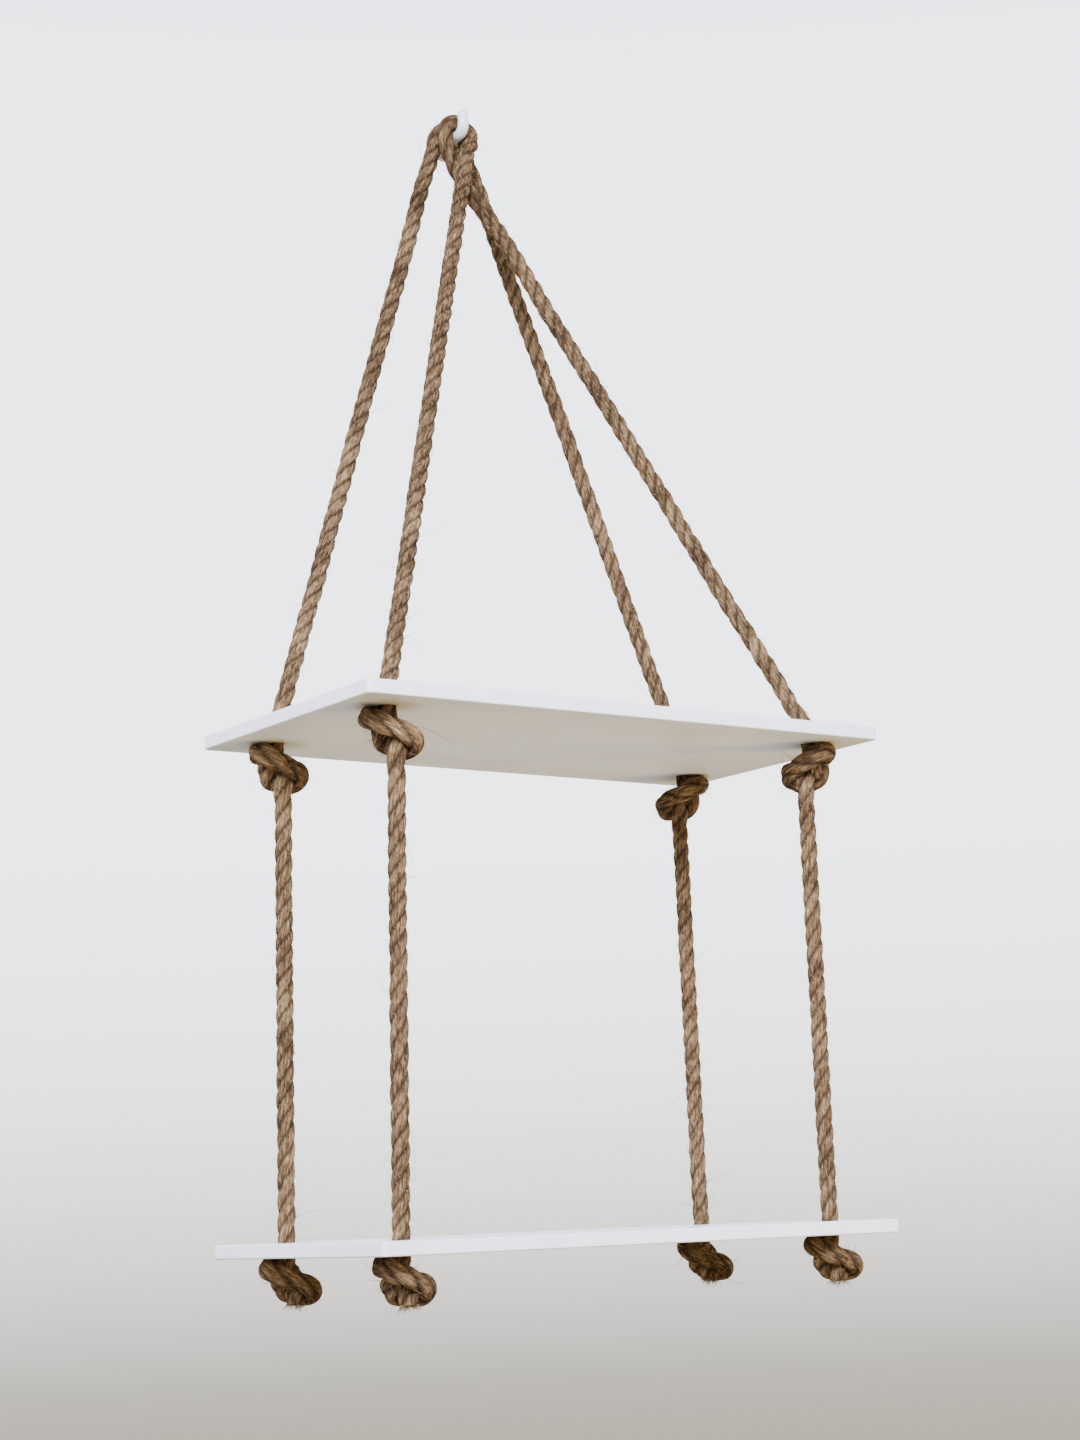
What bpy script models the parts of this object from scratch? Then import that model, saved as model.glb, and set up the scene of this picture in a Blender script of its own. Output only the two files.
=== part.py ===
"""Two painted boards hung one above the other on two knotted jute ropes from one wall hook.

Metres, +Z up, the wall is the plane y = 0 and -Y points into the room.
The origin is the middle of the hook plate's back, where it lies on the wall.
Run with: blender --background --python part.py
"""
import math

import bmesh
import bpy
import numpy as np
from mathutils import Matrix, Vector

# Boards
BOARD_LENGTH = 0.305
BOARD_DEPTH = 0.168
BOARD_THICKNESS = 0.007
BOARD_SPACING = 0.256
BOARD_CORNER_RADIUS = 0.0025
BOARD_EDGE_RADIUS = 0.0009
CORNER_SEGMENTS = 3
EDGE_SEGMENTS = 2

# Rope holes
HOLE_DIAMETER = 0.009
HOLE_FROM_END = 0.0250
HOLE_FROM_BACK = 0.0305
HOLE_FROM_FRONT = 0.0265
HOLE_SIDES = 24
CUTTER_DEPTH = 4 * BOARD_THICKNESS

# Hook
HOOK_RISE = 0.350
PRONG_RADIUS = 0.003
PRONG_BEND_RADIUS = 0.0055
PRONG_REACH = 0.0225
PRONG_TIP_HEIGHT = 0.0100
HOOK_SIDES = 20
BEND_STEPS = 7
TIP_STEPS = 4

# Rope
ROPE_DIAMETER = 0.008
STRANDS = 3
VALLEY_RADIUS = 0.80 * ROPE_DIAMETER / 2
LAY_LENGTH = 0.030
STEPS_PER_LAY = 8
STEP_PER_BEND_RADIUS = 0.5
SHORTEST_STEP = 0.0022
STRAIGHT_CURVATURE = 1.0
GAP = 0.0003

# Shading: edges sharper than this stay crisp
HOOK_CRISP_ANGLE = math.radians(40)
ROPE_CRISP_ANGLE = math.radians(50)

# Outline of the hook's plate and of the fillet where the prong leaves it, in metres.
# Columns: distance from the wall, radius
PLATE_OUTLINE = (
    (0.0000, 0.0090),
    (0.0010, 0.0090),
    (0.0017, 0.0084),
    (0.0020, 0.0070),
    (0.0022, 0.0041),
    (0.0028, 0.0032),
    (0.0040, PRONG_RADIUS),
)

# Half of an overhand knot pulled tight under a board, in rope diameters from the knot's middle.
# The rows run from the middle of the wrapping turn to where the rope leaves at the top.
# Half a turn about the forward axis carries this half onto the other.
# Columns: across, forward, up
KNOT_HALF_TURNS = (
    (0.00, 0.54, 0.00),
    (-0.96, 0.41, -0.38),
    (-1.39, -0.42, -0.80),
    (-0.90, -1.31, -0.90),
    (0.07, -1.44, -0.62),
    (0.55, -0.82, 0.00),
    (0.30, -0.37, 0.80),
)
KNOT_TOP = (0.24, -0.31, 1.40)
KNOT_HALF_HEIGHT = 0.915 + 0.50
TAIL_END = 1.42

# Where along each straight stretch the route has a point, as shares of the stretch.
HOLE_SHARES = (0.15, 0.90)
BETWEEN_BOARDS_SHARES = (0.06, 0.35, 0.65, 0.90, 0.975)
UP_TO_HOOK_SHARES = (0.035, 0.075, 0.16, 0.40, 0.70, 0.90)

# The knots: which board, which corner, turn about the vertical in degrees, and hand.
# Columns: board, corner, turn, mirrored
KNOTS = (
    ("upper", "front_left", 165.0, False),
    ("upper", "back_left", 185.0, False),
    ("upper", "front_right", 100.0, True),
    ("upper", "back_right", 120.0, True),
    ("lower", "front_left", 190.0, False),
    ("lower", "back_left", 170.0, False),
    ("lower", "front_right", 175.0, False),
    ("lower", "back_right", 160.0, False),
)

# The ropes' routes at the hook, in metres, from the left leg to the right leg.
# The back rope lies over the prong next to the plate.
# Columns: across, out from the wall, up
BACK_ROPE_AT_HOOK = (
    (-0.0160, -0.0083, -0.0220),
    (-0.0106, -0.0072, -0.0075),
    (-0.0070, -0.0068, 0.0028),
    (0.0000, -0.0068, 0.0075),
    (0.0070, -0.0068, 0.0028),
    (0.0106, -0.0072, -0.0075),
    (0.0160, -0.0083, -0.0220),
)
# The front rope goes up on the right, over the prong, down on the left and behind itself.
FRONT_ROPE_AT_HOOK = (
    (-0.0155, -0.0389, -0.0550),
    (-0.0040, -0.0280, -0.0250),
    (0.0036, -0.0213, -0.0085),
    (0.0074, -0.0172, 0.0010),
    (0.0045, -0.0156, 0.0062),
    (0.0000, -0.0154, 0.0077),
    (-0.0047, -0.0154, 0.0060),
    (-0.0074, -0.0154, -0.0005),
    (-0.0056, -0.0156, -0.0100),
    (0.0010, -0.0172, -0.0250),
    (0.0148, -0.0304, -0.0550),
)

# Finishes, linear colours
PAINT = ("white satin paint", (0.80, 0.79, 0.76, 1.0), 0.38, 0.0)
JUTE = ("natural jute rope", (0.34, 0.22, 0.13, 1.0), 0.92, 0.0)
HOOK_COATING = ("white coated steel", (0.85, 0.85, 0.84, 1.0), 0.30, 0.0)


def clear_scene():
    """Remove whatever the opened file holds."""
    for item in list(bpy.data.objects):
        bpy.data.objects.remove(item, do_unlink=True)


def make_material(finish):
    """A Principled material from a finish: name, colour, roughness and metallic value."""
    name, colour, roughness, metallic = finish
    material = bpy.data.materials.new(name)
    material.use_nodes = True
    shader = material.node_tree.nodes["Principled BSDF"]
    shader.inputs["Base Color"].default_value = colour
    shader.inputs["Roughness"].default_value = roughness
    shader.inputs["Metallic"].default_value = metallic
    material.diffuse_color = colour
    return material


def add_object(name, mesh, material=None):
    """Link a mesh into the scene as a named object."""
    item = bpy.data.objects.new(name, mesh)
    bpy.context.scene.collection.objects.link(item)
    if material is not None:
        mesh.materials.append(material)
    return item


def mesh_from(name, points, faces, crisp_angle):
    """A closed mesh from points and faces, all faces turned outwards."""
    mesh = bpy.data.meshes.new(name)
    mesh.from_pydata([tuple(p) for p in points], [], faces)
    work = bmesh.new()
    work.from_mesh(mesh)
    bmesh.ops.recalc_face_normals(work, faces=work.faces)
    work.to_mesh(mesh)
    work.free()
    mesh.shade_smooth()
    mesh.set_sharp_from_angle(angle=crisp_angle)
    return mesh


def board_underside(board):
    """Height of a board's underside."""
    return -HOOK_RISE if board == "upper" else -HOOK_RISE - BOARD_SPACING


def hole_centre(corner):
    """Where the hole of a corner lies, across and out from the wall."""
    side = -1.0 if corner.endswith("left") else 1.0
    across = side * (BOARD_LENGTH / 2 - HOLE_FROM_END)
    out = -HOLE_FROM_BACK if corner.startswith("back") else HOLE_FROM_FRONT - BOARD_DEPTH
    return across, out


def make_board(name, underside, material):
    """A flat board with rounded corners and edges and a rope hole near each corner."""
    work = bmesh.new()
    bmesh.ops.create_cube(work, size=1.0)
    bmesh.ops.scale(work, vec=(BOARD_LENGTH, BOARD_DEPTH, BOARD_THICKNESS), verts=work.verts)
    uprights = [e for e in work.edges if abs(e.verts[0].co.z - e.verts[1].co.z) > BOARD_THICKNESS / 2]
    bmesh.ops.bevel(work, geom=uprights, offset=BOARD_CORNER_RADIUS, segments=CORNER_SEGMENTS,
                    profile=0.5, affect="EDGES")
    rims = [e for e in work.edges if abs(e.verts[0].co.z - e.verts[1].co.z) < BOARD_THICKNESS / 2]
    bmesh.ops.bevel(work, geom=rims, offset=BOARD_EDGE_RADIUS, segments=EDGE_SEGMENTS,
                    profile=0.5, affect="EDGES")
    mesh = bpy.data.meshes.new(name)
    work.to_mesh(mesh)
    work.free()
    board = add_object(name, mesh, material)
    board.location = (0.0, -BOARD_DEPTH / 2, underside + BOARD_THICKNESS / 2)
    for corner in ("front_left", "back_left", "front_right", "back_right"):
        drill_hole(board, corner, underside)
    return board


def drill_hole(board, corner, underside):
    """Cut one rope hole with a round cutter that stands well past both faces."""
    work = bmesh.new()
    bmesh.ops.create_cone(work, cap_ends=True, segments=HOLE_SIDES, radius1=HOLE_DIAMETER / 2,
                          radius2=HOLE_DIAMETER / 2, depth=CUTTER_DEPTH)
    mesh = bpy.data.meshes.new(f"{board.name}_{corner}_cutter")
    work.to_mesh(mesh)
    work.free()
    cutter = add_object(mesh.name, mesh)
    across, out = hole_centre(corner)
    cutter.location = (across, out, underside + BOARD_THICKNESS / 2)
    cutter.hide_render = True
    cutter.display_type = "WIRE"
    cut = board.modifiers.new(f"{corner} hole", "BOOLEAN")
    cut.operation = "DIFFERENCE"
    cut.solver = "EXACT"
    cut.object = cutter


def hook_stations():
    """Centre, direction and radius of each ring of the hook, from the plate's back to the tip."""
    rings = []
    for out, radius in PLATE_OUTLINE:
        rings.append((Vector((0.0, -out, 0.0)), Vector((0.0, -1.0, 0.0)), radius))
    bend_start = PRONG_REACH - PRONG_BEND_RADIUS
    for step in range(BEND_STEPS + 1):
        angle = math.pi / 2 * step / BEND_STEPS
        centre = Vector((0.0, -bend_start - PRONG_BEND_RADIUS * math.sin(angle),
                         PRONG_BEND_RADIUS * (1.0 - math.cos(angle))))
        rings.append((centre, Vector((0.0, -math.cos(angle), math.sin(angle))), PRONG_RADIUS))
    for step in range(TIP_STEPS):
        angle = math.pi / 2 * step / TIP_STEPS
        centre = Vector((0.0, -PRONG_REACH, PRONG_TIP_HEIGHT + PRONG_RADIUS * math.sin(angle)))
        rings.append((centre, Vector((0.0, 0.0, 1.0)), PRONG_RADIUS * math.cos(angle)))
    return rings


def make_hook(material):
    """A round plate with one prong that reaches out of the wall and turns up, as one piece."""
    points = []
    across = Vector((1.0, 0.0, 0.0))
    rings = hook_stations()
    for centre, direction, radius in rings:
        up = across.cross(direction)
        for side in range(HOOK_SIDES):
            angle = 2 * math.pi * side / HOOK_SIDES
            points.append(centre + radius * (math.cos(angle) * across + math.sin(angle) * up))
    faces = tube_faces(len(rings), HOOK_SIDES)
    faces.append(list(range(HOOK_SIDES)))
    tip = len(points)
    points.append(Vector((0.0, -PRONG_REACH, PRONG_TIP_HEIGHT + PRONG_RADIUS)))
    last = (len(rings) - 1) * HOOK_SIDES
    for side in range(HOOK_SIDES):
        faces.append([last + side, last + (side + 1) % HOOK_SIDES, tip])
    mesh = mesh_from("wall_hook", points, faces, crisp_angle=HOOK_CRISP_ANGLE)
    return add_object("wall_hook", mesh, material)


def tube_faces(rings, sides):
    """Triangles between rings, with each diagonal laid the way a right-hand twist runs."""
    faces = []
    for ring in range(rings - 1):
        here, ahead = ring * sides, (ring + 1) * sides
        for side in range(sides):
            following = (side + 1) % sides
            faces.append([here + side, here + following, ahead + side])
            faces.append([here + following, ahead + following, ahead + side])
    return faces


def knot_points(board, corner, turn, mirrored):
    """Centre points of one knot from bottom to top, seated under its board."""
    upper_half = [np.array(row) for row in KNOT_HALF_TURNS] + [np.array(KNOT_TOP)]
    lower_half = [row * (-1.0, 1.0, -1.0) for row in reversed(upper_half[1:])]
    shape = np.array(lower_half + upper_half)
    top = np.array(KNOT_TOP)
    if mirrored:
        shape = shape * (-1.0, 1.0, 1.0)
        top = top * (-1.0, 1.0, 1.0)
    spin = np.array(Matrix.Rotation(math.radians(turn), 3, "Z"))
    across, out = hole_centre(corner)
    middle = board_underside(board) - GAP - KNOT_HALF_HEIGHT * ROPE_DIAMETER
    lean = spin @ (top * (1.0, 1.0, 0.0)) * ROPE_DIAMETER
    seat = np.array((across, out, middle)) - lean
    return [seat + spin @ row * ROPE_DIAMETER for row in shape]


def knot_at(board, corner):
    """The knot under one board's corner."""
    for row in KNOTS:
        if row[:2] == (board, corner):
            return knot_points(*row)
    raise ValueError(f"no knot at {board} {corner}")


def hole_points(board, corner):
    """Straight up through a board's hole."""
    across, out = hole_centre(corner)
    underside = board_underside(board)
    return [np.array((across, out, underside + share * BOARD_THICKNESS)) for share in HOLE_SHARES]


def between(start, end, shares):
    """Points along the straight line from start to end."""
    return [start + share * (end - start) for share in shares]


def leg_points(corner, hook_end):
    """One leg of a rope, from its cut end under the lower board up to the hook."""
    lower_knot = knot_at("lower", corner)
    tail = lower_knot[1] + (lower_knot[0] - lower_knot[1]) * (TAIL_END - KNOT_HALF_TURNS[-1][2]) / (
        KNOT_TOP[2] - KNOT_HALF_TURNS[-1][2])
    lower_hole = hole_points("lower", corner)
    upper_knot = knot_at("upper", corner)
    upper_hole = hole_points("upper", corner)
    points = [tail] + lower_knot[1:-1] + lower_hole
    points += between(lower_hole[-1], upper_knot[0], BETWEEN_BOARDS_SHARES)
    points += upper_knot[1:-1] + upper_hole
    points += between(upper_hole[-1], np.array(hook_end), UP_TO_HOOK_SHARES)
    return points


def rope_route(front):
    """All centre points of one rope, from its left cut end to its right one."""
    at_hook = [np.array(p) for p in (FRONT_ROPE_AT_HOOK if front else BACK_ROPE_AT_HOOK)]
    row = "front" if front else "back"
    left = leg_points(f"{row}_left", at_hook[0])
    right = leg_points(f"{row}_right", at_hook[-1])
    return np.array(left + at_hook + right[::-1])


def smooth_curve(points, per_span=24):
    """A cubic spline through the points with even curvature at each of them.

    The knots of the spline are the summed chord lengths. The second derivatives come from the
    usual three-term equations, with none at the two ends.
    """
    chord = np.linalg.norm(np.diff(points, axis=0), axis=1)
    at = np.concatenate(([0.0], np.cumsum(chord)))
    count = len(points)
    matrix = np.eye(count)
    right = np.zeros((count, 3))
    slope = np.diff(points, axis=0) / chord[:, None]
    for row in range(1, count - 1):
        matrix[row, row - 1] = chord[row - 1]
        matrix[row, row] = 2 * (chord[row - 1] + chord[row])
        matrix[row, row + 1] = chord[row]
        right[row] = 6 * (slope[row] - slope[row - 1])
    bend = np.linalg.solve(matrix, right)
    pieces = []
    for span in range(count - 1):
        t = np.linspace(0.0, 1.0, per_span, endpoint=False)[:, None]
        width = chord[span]
        blend = ((1 - t) * points[span] + t * points[span + 1]
                 + width ** 2 / 6 * (((1 - t) ** 3 - (1 - t)) * bend[span] + (t ** 3 - t) * bend[span + 1]))
        pieces.append(blend)
    pieces.append(points[-1:])
    return np.concatenate(pieces)


def ring_centres(curve):
    """Points along the curve, a step of the lay apart on straights and closer in tight bends."""
    length = np.linalg.norm(np.diff(curve, axis=0), axis=1)
    arc = np.concatenate(([0.0], np.cumsum(length)))
    tangent = np.gradient(curve, arc, axis=0)
    curvature = np.linalg.norm(np.gradient(tangent, arc, axis=0), axis=1)
    longest = LAY_LENGTH / STEPS_PER_LAY
    step = np.clip(STEP_PER_BEND_RADIUS / np.maximum(curvature, STRAIGHT_CURVATURE), SHORTEST_STEP, longest)
    steps_so_far = np.concatenate(([0.0], np.cumsum(length / ((step[1:] + step[:-1]) / 2))))
    rings = int(round(steps_so_far[-1])) + 1
    wanted = np.linspace(0.0, steps_so_far[-1], rings)
    where = np.interp(wanted, steps_so_far, arc)
    centres = np.stack([np.interp(where, arc, curve[:, axis]) for axis in range(3)], axis=1)
    return centres, where


def make_rope(name, front, material):
    """A three-strand rope laid right-handed, with both its legs, knots and ends in one solid."""
    centres, arc = ring_centres(smooth_curve(rope_route(front)))
    sides = 2 * STRANDS
    radii = [ROPE_DIAMETER / 2 if side % 2 == 0 else VALLEY_RADIUS for side in range(sides)]
    tangents = np.gradient(centres, axis=0)
    tangents /= np.linalg.norm(tangents, axis=1)[:, None]
    normal = Vector((0.0, 1.0, 0.0))
    points = []
    previous = Vector(tangents[0])
    for centre, tangent, along in zip(centres, tangents, arc):
        ahead = Vector(tangent)
        normal = previous.rotation_difference(ahead) @ normal
        normal = (normal - normal.dot(ahead) * ahead).normalized()
        previous = ahead
        other = ahead.cross(normal)
        laid = 2 * math.pi * along / LAY_LENGTH
        for side in range(sides):
            angle = laid + 2 * math.pi * side / sides
            points.append(Vector(centre) + radii[side] * (math.cos(angle) * normal + math.sin(angle) * other))
    rings = len(centres)
    faces = tube_faces(rings, sides)
    for ring, centre in ((0, centres[0]), (rings - 1, centres[-1])):
        middle = len(points)
        points.append(Vector(centre))
        for side in range(sides):
            faces.append([ring * sides + side, ring * sides + (side + 1) % sides, middle])
    mesh = mesh_from(name, points, faces, crisp_angle=ROPE_CRISP_ANGLE)
    return add_object(name, mesh, material)


def main():
    """Build the boards, the ropes and the hook."""
    clear_scene()
    paint = make_material(PAINT)
    jute = make_material(JUTE)
    coating = make_material(HOOK_COATING)
    make_board("upper_board", board_underside("upper"), paint)
    make_board("lower_board", board_underside("lower"), paint)
    make_rope("front_rope", True, jute)
    make_rope("back_rope", False, jute)
    make_hook(coating)


main()
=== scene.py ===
"""A white two-board wall shelf on knotted jute ropes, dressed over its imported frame.

Metres, +Z up and -Y to the front. The origin is the middle of the hook plate's back, which lies
in the plane y = 0. The boards, ropes and hook are surfaces worked out with numpy: a rounded board
outline carried through an edge profile, three strands carried along each rope's route, and rings
carried along the hook's bent prong.
"""
import logging
import math
from dataclasses import dataclass, field
from enum import Enum
from typing import Any, NamedTuple, Optional

import bpy
import numpy as np
from mathutils import Matrix, Vector


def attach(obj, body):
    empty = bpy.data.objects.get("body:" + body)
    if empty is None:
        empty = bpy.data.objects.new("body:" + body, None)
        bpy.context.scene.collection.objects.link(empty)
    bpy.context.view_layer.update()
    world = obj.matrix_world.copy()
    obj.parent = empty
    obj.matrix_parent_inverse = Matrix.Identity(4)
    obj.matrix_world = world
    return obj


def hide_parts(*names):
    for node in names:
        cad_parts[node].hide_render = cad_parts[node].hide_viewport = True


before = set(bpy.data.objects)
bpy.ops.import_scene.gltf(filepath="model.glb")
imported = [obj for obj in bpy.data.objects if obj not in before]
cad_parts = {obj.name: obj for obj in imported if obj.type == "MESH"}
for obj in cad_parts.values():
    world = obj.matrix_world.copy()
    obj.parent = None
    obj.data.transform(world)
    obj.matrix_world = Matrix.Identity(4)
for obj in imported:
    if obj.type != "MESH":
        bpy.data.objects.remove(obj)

logging.basicConfig(level=logging.INFO, format="%(name)s: %(message)s")
LOG = logging.getLogger("rope_shelf")

Array = np.ndarray
MM = 0.001
BODY = "root"


class Level(Enum):
    """The two boards, by where they hang."""

    UPPER = "upper"
    LOWER = "lower"


class Side(Enum):
    """Left and right as seen from the front, as the sign of X."""

    LEFT = -1.0
    RIGHT = 1.0


class Row(Enum):
    """The row of holes that a rope serves."""

    FRONT = "front"
    BACK = "back"


@dataclass(frozen=True)
class ShelfSizes:
    """The driving sizes, the same as the solids have.

    Attributes hold metres. Heights of the boards are measured down from the hook.
    """

    length: float = 0.305
    depth: float = 0.168
    thickness: float = 0.007
    spacing: float = 0.256
    hook_rise: float = 0.350
    hole_diameter: float = 0.009
    hole_from_end: float = 0.0250
    hole_from_back: float = 0.0305
    hole_from_front: float = 0.0265
    rope_diameter: float = 0.008
    gap: float = 0.0003

    def underside(self, level: Level) -> float:
        """Height of a board's underside."""
        return -self.hook_rise - (self.spacing if level is Level.LOWER else 0.0)

    def hole(self, row: Row, side: Side) -> Array:
        """Where a rope hole's axis lies, across and out (x, y)."""
        out = -self.hole_from_back if row is Row.BACK else self.hole_from_front - self.depth
        return np.array((side.value * (self.length / 2 - self.hole_from_end), out))


SIZES = ShelfSizes()


def linear(hex_colour: str) -> tuple[float, float, float, float]:
    """Turn an sRGB hex colour into linear light.

    Args:
        hex_colour: six hex digits, such as "C8B6A6".

    Returns:
        Linear red, green, blue and an alpha of 1.
    """
    coded = [int(hex_colour[start:start + 2], 16) / 255 for start in (0, 2, 4)]
    light = [c / 12.92 if c <= 0.04045 else ((c + 0.055) / 1.055) ** 2.4 for c in coded]
    return (light[0], light[1], light[2], 1.0)


def add_node(tree: bpy.types.NodeTree, kind: str, settings: Optional[dict[str, Any]] = None,
             links: Optional[dict[str, bpy.types.NodeSocket]] = None) -> bpy.types.Node:
    """Add one shader node with its settings and links.

    Args:
        tree: the material's or world's node tree.
        kind: the node's type name, such as "ShaderNodeTexNoise".
        settings: attributes of the node, or input sockets by name or number, and their values.
        links: input sockets by name or number, and the output that feeds each.

    Returns:
        The new node.
    """
    node = tree.nodes.new(kind)
    for name, value in (settings or {}).items():
        if isinstance(name, str) and hasattr(node, name):
            setattr(node, name, value)
        else:
            node.inputs[name].default_value = value
    for name, socket in (links or {}).items():
        tree.links.new(socket, node.inputs[name])
    return node


def add_ramp(tree: bpy.types.NodeTree, value: bpy.types.NodeSocket,
             stops: list[tuple[float, str]]) -> bpy.types.NodeSocket:
    """Colour a value through a ramp of sRGB hex stops.

    Args:
        tree: the node tree.
        value: the output that drives the ramp.
        stops: place and hex colour of each stop, in rising order.

    Returns:
        The ramp's colour output.
    """
    ramp = add_node(tree, "ShaderNodeValToRGB", links={"Fac": value})
    elements = ramp.color_ramp.elements
    while len(elements) < len(stops):
        elements.new(1.0)
    for element, (place, hex_colour) in zip(elements, stops):
        element.position = place
        element.color = linear(hex_colour)
    return ramp.outputs["Color"]


def new_material(name: str) -> tuple[bpy.types.Material, bpy.types.NodeTree, bpy.types.Node]:
    """A material with a bare Principled shader.

    Args:
        name: the finish's plain name.

    Returns:
        The material, its node tree and its shader node.
    """
    material = bpy.data.materials.new(name)
    material.use_nodes = True
    tree = material.node_tree
    return material, tree, tree.nodes["Principled BSDF"]


@dataclass(frozen=True)
class SatinPaint:
    """White satin paint, rolled and brushed on a sanded wooden board.

    It gives an even white with a soft gloss, a fine roller stipple and a trace of the grain
    that runs along the board and shows through the film.
    """

    colour: str = "F3F4F6"
    shade: str = "EBEBEC"
    roughness: tuple[float, float] = (0.34, 0.46)
    stipple_mm: float = 0.9
    grain_mm: tuple[float, float] = (60.0, 1.6)

    def build(self) -> bpy.types.Material:
        """Make the material.

        Returns:
            The finished material.
        """
        material, tree, shader = new_material("white_satin_paint_on_wood")
        place = add_node(tree, "ShaderNodeTexCoord").outputs["Object"]
        along, across = (1 / (size * MM) for size in self.grain_mm)
        grain_place = add_node(tree, "ShaderNodeMapping", {"Scale": (along, across, across)},
                               {"Vector": place})
        grain = add_node(tree, "ShaderNodeTexNoise", {"Scale": 1.0, "Detail": 4.0, "Distortion": 0.6},
                         {"Vector": grain_place.outputs["Vector"]})
        clouds = add_node(tree, "ShaderNodeTexNoise", {"Scale": 28.0, "Detail": 3.0}, {"Vector": place})
        stipple = add_node(tree, "ShaderNodeTexNoise",
                           {"Scale": 1 / (self.stipple_mm * MM), "Detail": 2.0}, {"Vector": place})
        colour = add_ramp(tree, clouds.outputs["Fac"], [(0.30, self.shade), (0.62, self.colour)])
        gloss = add_node(tree, "ShaderNodeMapRange",
                         {"From Min": 0.3, "From Max": 0.7, "To Min": self.roughness[0],
                          "To Max": self.roughness[1]}, {"Value": clouds.outputs["Fac"]})
        relief = add_node(tree, "ShaderNodeMath", {"operation": "MULTIPLY_ADD", 1: 0.45},
                          {0: grain.outputs["Fac"], 2: stipple.outputs["Fac"]})
        bump = add_node(tree, "ShaderNodeBump", {"Strength": 0.22, "Distance": 0.12 * MM},
                        {"Height": relief.outputs["Value"]})
        tree.links.new(colour, shader.inputs["Base Color"])
        tree.links.new(gloss.outputs["Result"], shader.inputs["Roughness"])
        tree.links.new(bump.outputs["Normal"], shader.inputs["Normal"])
        return material


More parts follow.
